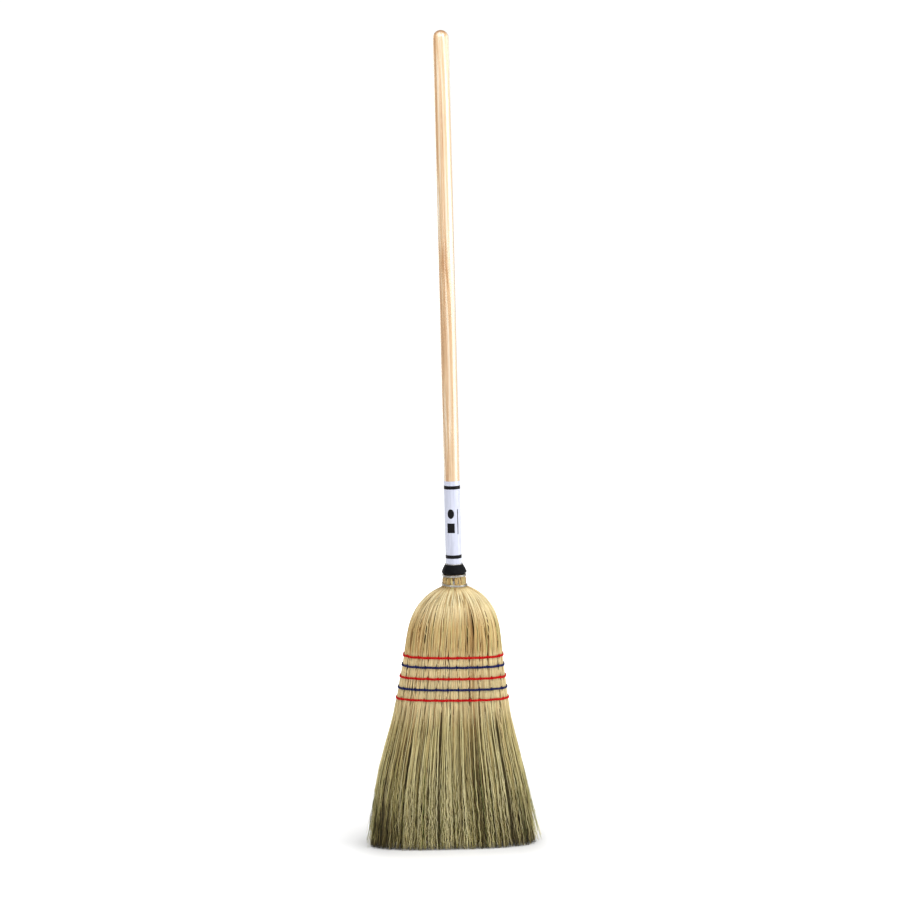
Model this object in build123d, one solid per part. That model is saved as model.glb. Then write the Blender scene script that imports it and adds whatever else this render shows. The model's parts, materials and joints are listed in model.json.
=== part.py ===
from build123d import *
from math import cos, pi, radians, sin, tan
import os

# A corn broom for curling: a dowel handle, broomcorn wound and stitched in layers, wires, nails,
# a boot and a label sleeve.  Millimetres.  Z is the handle's axis and the broom's flat front faces
# -Y.  The origin is on the floor, under the handle's axis.

# ---- handle ----
overall_height = 1422.0
handle_length = 1067.0
handle_radius = 14.0
handle_seat_radius = 13.8
taper_top = 464.0
taper_tip_radius = 8.0

# ---- outer shape of the straw: height, half width, half depth, squareness of the section ----
head_stations = [
    (466.5, 21.4, 21.4, 2.0),
    (461.0, 36.5, 23.5, 2.1),
    (452.0, 49.5, 26.5, 2.2),
    (434.0, 65.3, 31.0, 2.4),
    (407.0, 77.8, 34.5, 2.6),
    (372.0, 84.4, 34.5, 2.6),
    (346.5, 87.5, 32.0, 2.6),
    (329.0, 89.5, 31.0, 2.6),
    (308.5, 93.0, 30.0, 2.6),
    (288.6, 95.8, 29.2, 2.6),
    (269.7, 98.9, 28.5, 2.6),
    (262.0, 100.4, 28.3, 2.6),
]
sweep_stations = [
    (262.0, 100.4, 28.3, 2.6),
    (190.0, 116.4, 28.0, 2.7),
    (118.0, 133.2, 29.5, 2.8),
    (60.0, 142.0, 32.0, 2.9),
    (0.0, 150.0, 34.0, 3.0),
]
section_points = 28
lean_top = 460.0
lean_bottom = 150.0
lean_angle = 2.7

# ---- layers of straw ----
cover_at_neck = 1.55
cover_on_faces = 9.0
cover_on_sides = 12.0
cover_grows_over = 60.0
inside_width_at_neck = 24.0
inside_width_at_flex = 84.0
inside_width_at_floor = 120.0
layer_gap = 0.25

# ---- neck, from the handle outwards ----
neck_bottom = head_stations[0][0]
neck_radius = head_stations[0][1] - 0.2
neck_overlap = 6.0
inside_radius = 16.0
inside_top = 497.0
wing_radius = 18.2
wing_top = 483.5
cover_step = 485.0
cover_top = 490.3
cover_top_radius = 19.7
cover_top_bore = 17.9

# ---- wires and nails ----
wire_radius = 0.8
inner_wire_radius = 0.65
wire_pitch = 1.7
wire_clearance = 0.06
neck_wire_low = 486.35
neck_wire_turns = 2.0
shoulder_wire_low = 469.8
shoulder_wire_turns = 2.0
shoulder_wire_tilt = 4.0
shoulder_wire_slack = 0.3
core_wire_low = 491.2
core_wire_turns = 1.5
wing_wire_low = 473.0
wing_wire_turns = 4.0
boot_wire_radius = 0.7
nail_radius = 0.6
nail_head_radius = 1.5
nail_head_thickness = 0.5
nail_depth_in_wood = 9.0
nail_hole_clearance = 0.05
nail_head_clearance = 0.15
start_nail_z = 496.0
finish_nail_z = 482.8

# ---- boot and sleeve ----
sleeve_bottom = 499.0
sleeve_top = 655.0
sleeve_bore = 13.83
sleeve_radius = 14.35
boot_bottom = 490.8
boot_top = 507.7
boot_widest = 21.8
boot_widest_z = 494.8
boot_top_radius = 15.5
boot_bore = 14.6
boot_cone_top = 504.0
boot_cavity_radius = 18.9
boot_cavity_top = 498.5
boot_lip = 2.0

# ---- stitching ----
row_heights = [346.5, 329.0, 308.5, 288.6, 269.7]
row_tilt = 1.15
twine_radius = 1.2
twine_turn_radius = 1.25
twine_gap = 0.55
stitch_radius = 0.7
stitch_hole_clearance = 0.1
stitches_per_row = 10
stitched_share = 0.9

# ---- flex of the loose straw ----
flex_height = 262.0
flex_gap = 0.4
roof_angle = 25.0

# ---- cutting blocks: their size, and how far they reach past what they cut ----
far = 400.0
overshoot = 1.0


def signed_power(value, power):
    return abs(value) ** power if value >= 0 else -(abs(value) ** power)


def centre_x(z):
    """Sideways place of the straw's middle, which leans off the axis and then hangs straight."""
    leaning = lean_top - min(max(z, lean_bottom), lean_top)
    return -leaning * tan(radians(lean_angle))


def station_at(z):
    """Half width, half depth and squareness at a height, between two stations."""
    for upper, lower in zip(head_stations, head_stations[1:]):
        if upper[0] >= z >= lower[0]:
            share = (upper[0] - z) / (upper[0] - lower[0])
            return [a + share * (b - a) for a, b in zip(upper[1:], lower[1:])]
    return head_stations[-1][1:]


def superellipse_point(angle, half_width, half_depth, squareness, height_at):
    """Point of a section at one angle; height_at gives z for its sideways offset."""
    x = half_width * signed_power(cos(angle), 2 / squareness)
    y = half_depth * signed_power(sin(angle), 2 / squareness)
    z = height_at(x)
    return (x + centre_x(z), y, z)


def section_face(z, half_width, half_depth, squareness):
    """Level section of the straw."""
    step = 2 * pi / section_points
    size = (half_width, half_depth, squareness)
    points = [superellipse_point(step * index, *size, lambda x: z) for index in range(section_points)]
    return make_face(Spline(*points, periodic=True))


def straw_loft(stations, thinner_side=None, thinner_face=None):
    """Solid straw body through the stations, optionally reduced by a covering layer."""
    sections = []
    for z, half_width, half_depth, squareness in stations:
        width = half_width - (thinner_side(z) if thinner_side else 0.0)
        depth = half_depth - (thinner_face(z) if thinner_face else 0.0)
        sections.append(section_face(z, width, depth, squareness))
    return loft(sections)


def cover_growth(z):
    """0 at the neck, 1 where the covering straw has its full thickness."""
    return min((neck_bottom - z) / cover_grows_over, 1.0)


def cover_side(z):
    return cover_at_neck + (cover_on_sides - cover_at_neck) * cover_growth(z)


def cover_face(z):
    return cover_at_neck + (cover_on_faces - cover_at_neck) * cover_growth(z)


def inner_side(z):
    return cover_side(z) + layer_gap


def inner_face(z):
    return cover_face(z) + layer_gap


def ring_cylinder(radius, low, high, bore=0.0):
    """Upright cylinder or tube on the handle's axis."""
    solid = Pos(0, 0, (low + high) / 2) * Cylinder(radius, high - low)
    if bore:
        solid -= Pos(0, 0, (low + high) / 2) * Cylinder(bore, high - low + overshoot)
    return solid


def half_space(x_side=0, y_side=0):
    """Big block on one side of the plane x = 0 or y = 0, half a layer gap away from it."""
    shift = far / 2 + layer_gap / 2
    return Pos(x_side * shift, y_side * shift, far / 2) * Box(far, far, 3 * far)


def inside_wedge(extra, top_z, low_z, top_width, low_width):
    """Upright wedge that bounds the inside straw sideways, between two heights."""
    outline = Polyline(
        (centre_x(top_z) - top_width / 2 - extra, top_z),
        (centre_x(top_z) + top_width / 2 + extra, top_z),
        (centre_x(low_z) + low_width / 2 + extra, low_z),
        (centre_x(low_z) - low_width / 2 - extra, low_z),
        close=True,
    )
    return extrude(Plane.XZ * make_face(outline), amount=far / 2, both=True)


def handle_blank():
    """Solid of revolution: tapered lower end, seat for straw and sleeve, shank and domed top."""
    bottom = overall_height - handle_length
    dome_start = overall_height - handle_radius
    profile = Polyline(
        (0, bottom),
        (taper_tip_radius, bottom),
        (handle_seat_radius, taper_top),
        (handle_seat_radius, sleeve_top),
        (handle_radius, sleeve_top),
        (handle_radius, dome_start),
    )
    profile += CenterArc((0, dome_start), handle_radius, 0, 90)
    profile += Line((0, overall_height), (0, bottom))
    return revolve(Plane.XZ * make_face(profile), Axis.Z)


def handle_bore():
    """Room for the handle's lower end in the straw."""
    bottom = overall_height - handle_length - layer_gap
    low_radius = taper_tip_radius + layer_gap
    radius = handle_seat_radius + layer_gap
    profile = Polyline(
        (0, bottom),
        (low_radius, bottom),
        (radius, taper_top),
        (radius, far * 2),
        (0, far * 2),
        close=True,
    )
    return revolve(Plane.XZ * make_face(profile), Axis.Z)


def nail(z, y_side, head_seat, clearance=0.0):
    """Nail along Y into the handle, its head resting on head_seat."""
    tip = handle_radius - nail_depth_in_wood
    shank_length = head_seat - tip + clearance
    shank = Cylinder(nail_radius + clearance, shank_length)
    shank = Pos(0, y_side * (head_seat - shank_length / 2), z) * Rot(90, 0, 0) * shank
    head = Cylinder(nail_head_radius, nail_head_thickness)
    head = Pos(0, y_side * (head_seat + nail_head_thickness / 2), z) * Rot(90, 0, 0) * head
    return shank if clearance else shank + head


def start_nail(clearance=0.0):
    """Nail that holds the end of the innermost wire, at the front."""
    head_seat = inside_radius + 2 * inner_wire_radius + nail_head_clearance
    return nail(start_nail_z, -1, head_seat, clearance)


def finish_nail(clearance=0.0):
    """Nail that holds the end of the outermost wire, at the back."""
    head_seat = cover_top_radius + 2 * wire_radius + nail_head_clearance
    return nail(finish_nail_z, 1, head_seat, clearance)


def nail_holes():
    """Holes that both nails leave in wood and straw."""
    return start_nail(nail_hole_clearance) + finish_nail(nail_hole_clearance)


def wound_wire(seat_radius, radius, low, turns, tilt=0.0):
    """Helical wire that lies on a round seat."""
    centre_radius = seat_radius + radius + wire_clearance
    line = Helix(wire_pitch, wire_pitch * turns, centre_radius)
    coil = sweep((line ^ 0) * Circle(radius), path=line, is_frenet=True)
    return Pos(0, 0, low) * Rot(0, tilt, 0) * coil


def shoulder_wire():
    """Wire at the foot of the neck, which slants and so needs a little slack."""
    seat = neck_radius + shoulder_wire_slack
    return wound_wire(seat, wire_radius, shoulder_wire_low, shoulder_wire_turns, shoulder_wire_tilt)


def boot_wire():
    """Round wire ring on the boot's top rim."""
    ring = Torus(sleeve_radius + boot_wire_radius + wire_clearance, boot_wire_radius)
    return Pos(0, 0, boot_top + boot_wire_radius + wire_clearance) * ring


def neck_boot():
    """Flared boot with a rounded lower lip, hollow over the ends of the straw."""
    lip_radius = boot_widest - boot_lip
    outer = Spline(
        (boot_top_radius, boot_top),
        (boot_widest, boot_widest_z),
        (lip_radius, boot_bottom),
        tangents=[(0.35, -1), (-0.75, -0.65)],
    )
    inner = Polyline(
        (lip_radius, boot_bottom),
        (boot_cavity_radius, boot_bottom),
        (boot_cavity_radius, boot_cavity_top),
        (boot_bore, boot_cone_top),
        (boot_bore, boot_top),
        (boot_top_radius, boot_top),
    )
    return revolve(Plane.XZ * make_face(outer + inner), Axis.Z)


def row_height_at(row_z):
    """Height of a slightly tilted row at each sideways offset from the straw's middle."""
    return lambda x: row_z - x * tan(radians(row_tilt))


def stitch_offsets(row_z):
    """Sideways places of the stitches in one row."""
    half_width = station_at(row_z)[0] * stitched_share
    pitch = 2 * half_width / (stitches_per_row - 1)
    return [-half_width + pitch * index for index in range(stitches_per_row)]


def row_stitches(row_z, radius, reach):
    """Straight stitches along Y, right through the straw."""
    stitches = []
    height_at = row_height_at(row_z)
    half_width, half_depth, squareness = station_at(row_z)
    for x in stitch_offsets(row_z):
        depth = half_depth * (1 - abs(x / half_width) ** squareness) ** (1 / squareness)
        length = 2 * (depth + reach)
        z = height_at(x)
        stitches.append(Pos(x + centre_x(z), 0, z) * Rot(90, 0, 0) * Cylinder(radius, length))
    return stitches


def twine_run(row_z, y_side):
    """Line of the twine along one flat side of the broom, from edge to edge."""
    half_width, half_depth, squareness = station_at(row_z)
    offset = twine_gap + twine_radius
    size = (half_width + offset, y_side * (half_depth + offset), squareness)
    steps = section_points // 2
    height_at = row_height_at(row_z)
    angles = [pi * index / steps for index in range(steps + 1)]
    return Spline(*[superellipse_point(angle, *size, height_at) for angle in angles])


def stitch_row(row_z):
    """Twine along both flat sides, turned round the edges and sewn through the straw."""
    row = Part()
    for y_side in (-1, 1):
        line = twine_run(row_z, y_side)
        row += sweep(Plane(line @ 0, z_dir=line % 0) * Circle(twine_radius), path=line)
    for end in (line @ 0, line @ 1):
        row += Pos(*end) * Sphere(twine_turn_radius)
    row += row_stitches(row_z, stitch_radius, twine_gap + twine_radius)
    return row


def stitch_holes():
    """All the holes that the stitches leave in the straw."""
    holes = []
    for row_z in row_heights:
        holes += row_stitches(row_z, stitch_radius + stitch_hole_clearance, twine_radius * 3)
    return holes


def cover_layer(holes):
    """Front and back covering straw, from under the boot to the flex line."""
    neck_low = neck_bottom - neck_overlap
    outer = straw_loft(head_stations)
    outer += ring_cylinder(neck_radius, neck_low, cover_step)
    outer += ring_cylinder(cover_top_radius, cover_step - overshoot, cover_top)
    core = straw_loft(head_stations, cover_side, cover_face)
    core += ring_cylinder(neck_radius - cover_at_neck, neck_low, cover_step - overshoot)
    core += ring_cylinder(cover_top_bore, neck_low, cover_top + overshoot)
    layer = trim_above_flex(outer - core - holes - nail_holes())
    return layer & half_space(y_side=-1), layer & half_space(y_side=1)


def inner_layers(holes):
    """Inside straw and the two wings, from the neck to the flex line."""
    core = straw_loft(head_stations, inner_side, inner_face)
    neck_low = neck_bottom - neck_overlap
    wedge_size = (neck_bottom + overshoot, flex_height, inside_width_at_neck, inside_width_at_flex)
    inside = core & inside_wedge(-layer_gap, *wedge_size)
    inside += ring_cylinder(inside_radius, neck_low, inside_top)
    inside = trim_above_flex(inside - handle_bore() - nail_holes() - holes)
    wings = core + ring_cylinder(wing_radius, neck_low, wing_top)
    wings -= inside_wedge(0.0, *wedge_size)
    wings -= ring_cylinder(inside_radius + layer_gap, neck_low - layer_gap, wing_top + overshoot)
    wings = trim_above_flex(wings - handle_bore() - nail_holes() - holes)
    return inside, wings & half_space(x_side=-1), wings & half_space(x_side=1)


def trim_above_flex(solid):
    """Keep what lies above the flex line."""
    low = flex_height + flex_gap / 2
    return solid & (Pos(0, 0, low + far) * Box(far * 2, far, far * 2))


def roof():
    """Space over the loose straw that its swing needs, a shallow roof turned upside down."""
    drop = far / 2 * tan(radians(roof_angle))
    ridge = flex_height - flex_gap / 2
    outline = Polyline(
        (-far / 2, ridge - drop),
        (0, ridge),
        (far / 2, ridge - drop),
        (far / 2, far),
        (-far / 2, far),
        close=True,
    )
    return extrude(Plane.YZ * make_face(outline), amount=far, both=True)


def sweep_layers():
    """Loose ends of every layer, from the flex line to the floor."""
    outer = straw_loft(sweep_stations) - roof()
    core = straw_loft(sweep_stations, cover_side, cover_face)
    cover = outer - core
    inner = straw_loft(sweep_stations, inner_side, inner_face) - roof()
    wedge_size = (flex_height, 0.0, inside_width_at_flex, inside_width_at_floor)
    inside = inner & inside_wedge(-layer_gap, *wedge_size)
    wings = inner - inside_wedge(0.0, *wedge_size)
    middle = centre_x(flex_height / 2)
    left = wings & (Pos(middle, 0, 0) * half_space(x_side=-1))
    right = wings & (Pos(middle, 0, 0) * half_space(x_side=1))
    return {
        "front_sweep": cover & half_space(y_side=-1),
        "back_sweep": cover & half_space(y_side=1),
        "inside_sweep": inside,
        "left_sweep": left,
        "right_sweep": right,
    }


def build_broom():
    """Every piece of the broom, by node name."""
    holes = stitch_holes()
    front_hurl, back_hurl = cover_layer(holes)
    inside_straw, left_wing, right_wing = inner_layers(holes)
    pieces = {
        "handle": handle_blank() - nail_holes(),
        "label_sleeve": ring_cylinder(sleeve_radius, sleeve_bottom, sleeve_top, sleeve_bore),
        "neck_boot": neck_boot(),
        "boot_wire": boot_wire(),
        "neck_wire": wound_wire(cover_top_radius, wire_radius, neck_wire_low, neck_wire_turns),
        "shoulder_wire": shoulder_wire(),
        "core_wire": wound_wire(inside_radius, inner_wire_radius, core_wire_low, core_wire_turns),
        "wing_wire": wound_wire(wing_radius, inner_wire_radius, wing_wire_low, wing_wire_turns),
        "start_nail": start_nail(),
        "finish_nail": finish_nail(),
        "inside_straw": inside_straw,
        "left_wing_straw": left_wing,
        "right_wing_straw": right_wing,
        "front_hurl": front_hurl,
        "back_hurl": back_hurl,
    }
    for number, row_z in enumerate(row_heights, start=1):
        pieces[f"stitch_row_{number}"] = stitch_row(row_z)
    pieces.update(sweep_layers())
    return pieces


os.makedirs("parts", exist_ok=True)
for name, piece in build_broom().items():
    export_step(piece, f"parts/{name}.step")
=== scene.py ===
import json
import math

import bpy
import numpy as np
from mathutils import Matrix, Vector


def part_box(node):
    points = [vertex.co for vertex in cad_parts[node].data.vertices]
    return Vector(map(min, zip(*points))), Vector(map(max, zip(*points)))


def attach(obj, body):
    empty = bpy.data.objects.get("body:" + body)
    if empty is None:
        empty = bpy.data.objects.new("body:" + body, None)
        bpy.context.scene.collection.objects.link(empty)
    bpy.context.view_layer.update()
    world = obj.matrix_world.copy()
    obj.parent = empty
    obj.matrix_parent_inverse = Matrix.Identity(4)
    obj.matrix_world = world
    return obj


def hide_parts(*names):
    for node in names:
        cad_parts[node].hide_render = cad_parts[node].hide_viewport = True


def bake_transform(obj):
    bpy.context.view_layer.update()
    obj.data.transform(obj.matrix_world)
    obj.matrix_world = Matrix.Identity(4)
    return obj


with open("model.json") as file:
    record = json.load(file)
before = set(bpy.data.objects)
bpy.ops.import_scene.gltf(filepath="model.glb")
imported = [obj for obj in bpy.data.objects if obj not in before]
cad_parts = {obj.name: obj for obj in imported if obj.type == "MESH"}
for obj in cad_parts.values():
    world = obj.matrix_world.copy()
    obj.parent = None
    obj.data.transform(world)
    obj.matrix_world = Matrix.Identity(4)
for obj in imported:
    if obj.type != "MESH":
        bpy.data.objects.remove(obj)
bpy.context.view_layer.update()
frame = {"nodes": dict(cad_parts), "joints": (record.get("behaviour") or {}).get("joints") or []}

# A corn curling broom.  Metres; Z is the handle's axis and the flat front faces -Y.
# The straw is modelled stalk by stalk around the outline that the CAD straw solids give.

MM = 0.001
TURN = 2 * math.pi
rng = np.random.default_rng(56)

# ---------------------------------------------------------------- places read from the frame

OUTER_STRAW = ("front_hurl", "back_hurl", "front_sweep", "back_sweep")
FLEX = Vector(frame["joints"][0]["pos_m"])
CUT_BELOW = 17 * MM
CUT_ABOVE = 2 * MM
COLLAR_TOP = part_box("front_hurl")[1].z
SHOULDER_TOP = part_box("shoulder_wire")[0].z
HANDLE_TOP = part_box("handle")[1].z
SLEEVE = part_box("label_sleeve")
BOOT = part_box("neck_boot")
ROW_NODES = [f"stitch_row_{number}" for number in range(1, 6)]
ROW_COLOURS = ("red", "navy", "red", "navy", "red")
STITCHES = 10
STITCHED_SHARE = 0.9


def node_points(name):
    """Vertices of a CAD node as an array."""
    mesh = frame["nodes"][name].data
    points = np.empty(len(mesh.vertices) * 3)
    mesh.vertices.foreach_get("co", points)
    return points.reshape(-1, 3)


def node_edges(names):
    """Both ends of every edge of some CAD nodes."""
    ends = []
    for name in names:
        mesh = frame["nodes"][name].data
        pairs = np.empty(len(mesh.edges) * 2, dtype=int)
        mesh.edges.foreach_get("vertices", pairs)
        ends.append(node_points(name)[pairs.reshape(-1, 2)])
    return np.concatenate(ends)


def slice_extent(ends, z):
    """Lowest x, highest x, lowest y and highest y where the edges cross a height."""
    low, high = ends[:, 0], ends[:, 1]
    crossing = (low[:, 2] - z) * (high[:, 2] - z) < 0
    low, high = low[crossing], high[crossing]
    share = (z - low[:, 2]) / (high[:, 2] - low[:, 2])
    points = low + share[:, None] * (high - low)
    return points[:, 0].min(), points[:, 0].max(), points[:, 1].min(), points[:, 1].max()


def smooth(t):
    """0 below 0, 1 above 1 and a soft ramp between."""
    t = np.clip(t, 0, 1)
    return t * t * (3 - 2 * t)


# ---------------------------------------------------------------- outline of the straw

LEVELS = np.linspace(1 * MM, COLLAR_TOP - 0.5 * MM, 110)
ROUND = 256
WALK_POINTS = 1441
SQUARENESS_HEIGHTS = (0.0, 0.26, 0.40, 0.45, 0.467)
SQUARENESS = (3.0, 2.6, 2.6, 2.25, 2.0)


def outline_sizes():
    """Centre x, half width and half depth at every level, bridging the cut at the flex."""
    ends = node_edges(OUTER_STRAW)
    uncut = [z for z in LEVELS if not FLEX.z - CUT_BELOW < z < FLEX.z + CUT_ABOVE]
    extents = np.array([slice_extent(ends, z) for z in uncut])
    centre = np.interp(LEVELS, uncut, (extents[:, 0] + extents[:, 1]) / 2)
    half_width = np.interp(LEVELS, uncut, (extents[:, 1] - extents[:, 0]) / 2)
    half_depth = np.interp(LEVELS, uncut, (extents[:, 3] - extents[:, 2]) / 2)
    return centre, half_width, half_depth


def outline_table():
    """Points and outward normals of the outline, evenly spaced round it, at every level."""
    centre, half_width, half_depth = outline_sizes()
    power = 2 / np.interp(LEVELS, SQUARENESS_HEIGHTS, SQUARENESS)
    angle = np.linspace(0, TURN, WALK_POINTS)
    cosine, sine = np.cos(angle), np.sin(angle)
    shares = np.arange(ROUND) / ROUND
    points = np.empty((len(LEVELS), ROUND, 2))
    for row, p in enumerate(power):
        x = half_width[row] * np.sign(cosine) * np.abs(cosine) ** p
        y = half_depth[row] * np.sign(sine) * np.abs(sine) ** p
        walked = np.concatenate([[0], np.cumsum(np.hypot(np.diff(x), np.diff(y)))])
        points[row, :, 0] = centre[row] + np.interp(shares * walked[-1], walked, x)
        points[row, :, 1] = np.interp(shares * walked[-1], walked, y)
    ahead = np.roll(points, -2, axis=1) - np.roll(points, 2, axis=1)
    normals = np.stack([ahead[..., 1], -ahead[..., 0]], axis=-1)
    normals /= np.linalg.norm(normals, axis=-1, keepdims=True)
    return centre, half_width, points, normals


CENTRE, HALF_WIDTH, OUTLINE, NORMALS = outline_table()
GIRTH = np.linalg.norm(np.diff(OUTLINE, axis=1), axis=-1).sum(axis=1)


def read_table(table, share, z):
    """Value of a table at shares of the way round and heights, by bilinear interpolation."""
    level = np.clip((z - LEVELS[0]) / (LEVELS[1] - LEVELS[0]), 0, len(LEVELS) - 1.001)
    column = (share % 1.0) * ROUND
    row, left = level.astype(int), column.astype(int) % ROUND
    right = (left + 1) % ROUND
    up, along = (level - row)[..., None], (column - column.astype(int))[..., None]
    low = table[row, left] * (1 - along) + table[row, right] * along
    high = table[row + 1, left] * (1 - along) + table[row + 1, right] * along
    return low * (1 - up) + high * up


def girth_at(z):
    """Distance round the straw at a height."""
    return np.interp(z, LEVELS, GIRTH)


def centre_at(z):
    """Sideways place of the straw's middle at a height."""
    return np.interp(z, LEVELS, CENTRE)


def half_width_at(z):
    """Half of the straw's width at a height."""
    return np.interp(z, LEVELS, HALF_WIDTH)


# ---------------------------------------------------------------- stitched rows

def row_line(name):
    """Height at the straw's middle and slope of one stitched row."""
    points = node_points(name)
    slope, height = np.polyfit(points[:, 0], points[:, 2], 1)
    return height, slope


ROWS = [row_line(name) for name in ROW_NODES]
TOP_ROW, LAST_ROW = ROWS[0][0], ROWS[-1][0]
ROW_SHIFTS = rng.uniform(-1.5, 1.5, len(ROWS)) * MM
# The twine pulls the straw in by PINCH between its stitches, and by twice that at each one.
PINCH = 1.05 * MM
PINCH_REACH = 3.6 * MM
CLEFT = 1.35 * MM
CLEFT_ABOVE = 5.0 * MM
CLEFT_BELOW = 6.25 * MM
CLEFT_WIDTH = 3.0 * MM
STITCH_JITTER = rng.uniform(-2.2, 2.2, (len(ROWS), STITCHES)) * MM
HELD_ABOVE = 14 * MM
HELD_BELOW = 22 * MM
HELD_FADE = 16 * MM


def stitch_places(index):
    """Sideways places of one row's stitches."""
    height = ROWS[index][0]
    reach = half_width_at(height) * STITCHED_SHARE
    even = centre_at(height) + np.linspace(-reach, reach, STITCHES)
    return even + ROW_SHIFTS[index] + STITCH_JITTER[index]


def row_height(index, x):
    """Height of a row at a sideways place."""
    height, slope = ROWS[index]
    return height + slope * x


def held_flat(z):
    """1 between the stitched rows, where the twine holds the straw flat, and 0 clear of them."""
    below_top = smooth((TOP_ROW + HELD_ABOVE - z) / HELD_FADE)
    above_last = smooth((z - LAST_ROW + HELD_BELOW) / HELD_FADE)
    return below_top * above_last


def stitch_pinch(x, z):
    """Depth by which the twine pulls the straw in."""
    depth = np.zeros(np.broadcast(x, z).shape)
    for index in range(len(ROWS)):
        near = np.exp(-(((z - row_height(index, x)) / PINCH_REACH) ** 2))
        off = np.abs(x[..., None] - stitch_places(index)).min(axis=-1)
        depth += near * PINCH * (1 + np.exp(-((off / CLEFT_WIDTH) ** 2)))
    return depth


def stitch_cleft(x, z):
    """Sideways push that opens a small gap above and below each stitch."""
    push = np.zeros(np.broadcast(x, z).shape)
    for index in range(len(ROWS)):
        gaps = x[..., None] - stitch_places(index)
        nearest = np.take_along_axis(gaps, np.abs(gaps).argmin(axis=-1)[..., None], axis=-1)[..., 0]
        reach = np.where(z < row_height(index, x), CLEFT_BELOW, CLEFT_ABOVE)
        near = np.exp(-(((z - row_height(index, x)) / reach) ** 2))
        push += near * CLEFT * np.sign(nearest) * np.exp(-np.abs(nearest) / CLEFT_WIDTH)
    return push


# ---------------------------------------------------------------- gaps between the straws

ON_EDGES = 1.3


def gap_group(count, middle, half_length, width, on_faces=0.6):
    """Lens-shaped gaps, with ranges for middle height and half length in metres and width in mm.

    A gap's width is scaled from on_faces at the flat faces to ON_EDGES at the side edges.
    """
    share = (np.arange(count) + rng.uniform(-0.5, 0.5, count)) / count
    by_place = on_faces + (ON_EDGES - on_faces) * np.abs(np.cos(TURN * share))
    return {
        "share": share,
        "middle": rng.uniform(*middle, count),
        "half_length": rng.uniform(*half_length, count),
        "width": rng.uniform(*width, count) * MM * by_place,
        "lean": rng.normal(0, 0.05, count),
    }


def all_gaps():
    """Gaps in the shoulder, the stitched part, below it, in the loose straw and at the tips."""
    groups = (
        gap_group(24, (0.385, 0.425), (0.022, 0.045), (0.7, 2.0), on_faces=0.25),
        gap_group(38, (0.27, 0.335), (0.006, 0.018), (0.3, 0.9)),
        gap_group(62, (0.195, 0.245), (0.03, 0.08), (0.7, 2.2)),
        gap_group(96, (0.08, 0.17), (0.03, 0.07), (0.8, 2.4)),
        gap_group(96, (-0.02, 0.05), (0.03, 0.09), (0.9, 2.6)),
    )
    return {key: np.concatenate([group[key] for group in groups]) for key in groups[0]}


GAPS = all_gaps()
GAP_FADE = 5.0 * MM


def open_gaps(share, z):
    """Shares pushed aside where the straw stands open."""
    girth = girth_at(z)
    push = np.zeros(z.shape)
    for place, middle, half_length, width, lean in zip(*GAPS.values()):
        along = (z - middle) / half_length
        window = np.clip(1 - along * along, 0, None)
        off = (share - place + 0.5) % 1.0 - 0.5
        off = off * girth - lean * (z - middle)
        push += width * window * np.sign(off) * np.exp(-np.abs(off) / GAP_FADE)
    return share + push / girth


def straw_points(share, z, depth):
    """Points in the straw from share round it, height and depth under the surface."""
    surface = read_table(OUTLINE, share, z)
    normal = read_table(NORMALS, share, z)
    inward = depth + stitch_pinch(surface[..., 0], z)
    flat = surface - normal * inward[..., None]
    x = flat[..., 0] + stitch_cleft(flat[..., 0], z) * np.abs(normal[..., 1])
    return np.stack([x, flat[..., 1], z], axis=-1)


# ---------------------------------------------------------------- meshes from paths

def tube_mesh(paths, radii, sides, reference):
    """Vertices and faces of closed tubes; paths is (tubes, steps, 3) and radii (tubes, steps)."""
    count, steps = radii.shape
    ahead = np.gradient(paths, axis=1)
    ahead /= np.linalg.norm(ahead, axis=-1, keepdims=True) + 1e-12
    side = np.cross(ahead, reference)
    side /= np.linalg.norm(side, axis=-1, keepdims=True) + 1e-12
    up = np.cross(side, ahead)
    angle = TURN * np.arange(sides) / sides
    ring = side[:, :, None] * np.cos(angle)[:, None] + up[:, :, None] * np.sin(angle)[:, None]
    vertices = paths[:, :, None] + ring * radii[:, :, None, None]
    index = np.arange(count * steps * sides).reshape(count, steps, sides)
    turned = np.roll(index, -1, axis=2)
    quads = np.stack([index[:, :-1], turned[:, :-1], turned[:, 1:], index[:, 1:]], axis=-1)
    caps = np.concatenate([index[:, 0, ::-1], index[:, -1]])
    return vertices.reshape(-1, 3), quads.reshape(-1, 4), caps


def mesh_piece(name, vertices, polygons, **attributes):
    """Mesh object from vertices, groups of equal-sided polygons and per-vertex values."""
    mesh = bpy.data.meshes.new(name)
    mesh.vertices.add(len(vertices))
    mesh.vertices.foreach_set("co", np.ascontiguousarray(vertices, dtype=np.float32).ravel())
    corners = np.concatenate([group.ravel() for group in polygons])
    totals = np.concatenate([np.full(len(group), group.shape[1]) for group in polygons])
    starts = np.concatenate([[0], np.cumsum(totals)[:-1]])
    mesh.loops.add(len(corners))
    mesh.loops.foreach_set("vertex_index", corners.astype(np.int32))
    mesh.polygons.add(len(totals))
    mesh.polygons.foreach_set("loop_start", starts.astype(np.int32))
    mesh.polygons.foreach_set("use_smooth", np.ones(len(totals), dtype=bool))
    for key, values in attributes.items():
        layer = mesh.attributes.new(key, "FLOAT", "POINT")
        layer.data.foreach_set("value", values.astype(np.float32))
    mesh.update(calc_edges=True)
    mesh.validate()
    piece = bpy.data.objects.new(name, mesh)
    bpy.context.collection.objects.link(piece)
    return piece


SIDEWAYS = np.array([1.0, 0.0, 0.0])
BACKWARD = np.array([0.0, 1.0, 0.0])
UPWARD = np.array([0.0, 0.0, 1.0])


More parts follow.
